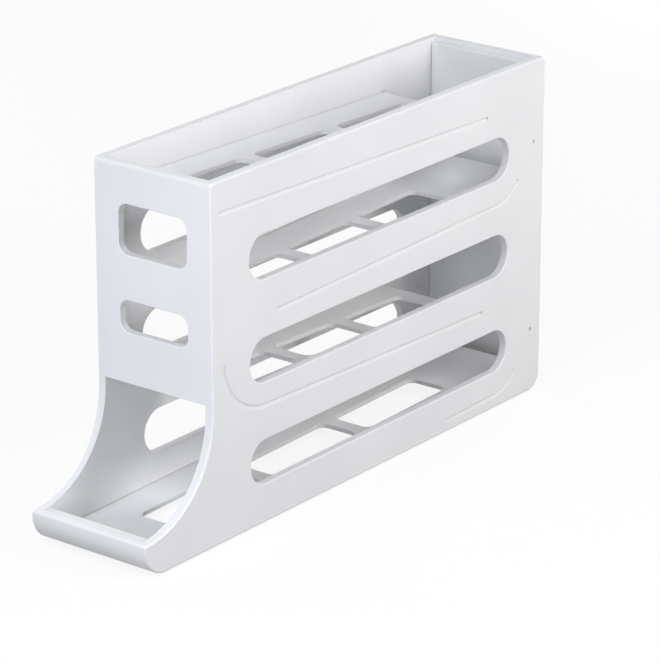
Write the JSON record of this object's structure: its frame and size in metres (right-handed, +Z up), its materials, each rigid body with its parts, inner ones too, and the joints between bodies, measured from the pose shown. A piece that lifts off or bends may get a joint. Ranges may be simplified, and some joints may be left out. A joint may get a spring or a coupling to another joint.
{
  "type": "egg dispenser",
  "caption": "Narrow upright gravity-fed egg dispenser with zigzag ramps, slotted sides, windowed front, open top and a scooped mouth with a catch lip",
  "frame": {"origin": "under the middle of the whole outline, on the surface it stands on", "axes": "+Z up, the catch lip at the front towards -Y, +X to the right seen from the front"},
  "size_m": [0.0786, 0.352, 0.2],
  "materials": {
    "panel_plastic": "satin",
    "ramp_plastic": "satin",
    "pin_plastic": "satin"
  },
  "bodies": {
    "housing": {"right_side_panel": "panel_plastic", "left_side_panel": "panel_plastic", "front_panel": "panel_plastic", "back_panel": "panel_plastic", "rear_guide": "ramp_plastic", "rear_snap_pins": "pin_plastic", "second_ramp": "ramp_plastic", "third_ramp": "ramp_plastic", "bottom_ramp": "ramp_plastic", "front_lip": "panel_plastic"},
    "top_ramp": {"top_ramp": "ramp_plastic"}
  },
  "joints": [
    {"name": "top_ramp_lift", "type": "slide", "parent": "housing", "child": "top_ramp", "axis": [0, 0, 1], "range_m": [0, 0.045]}
  ]
}
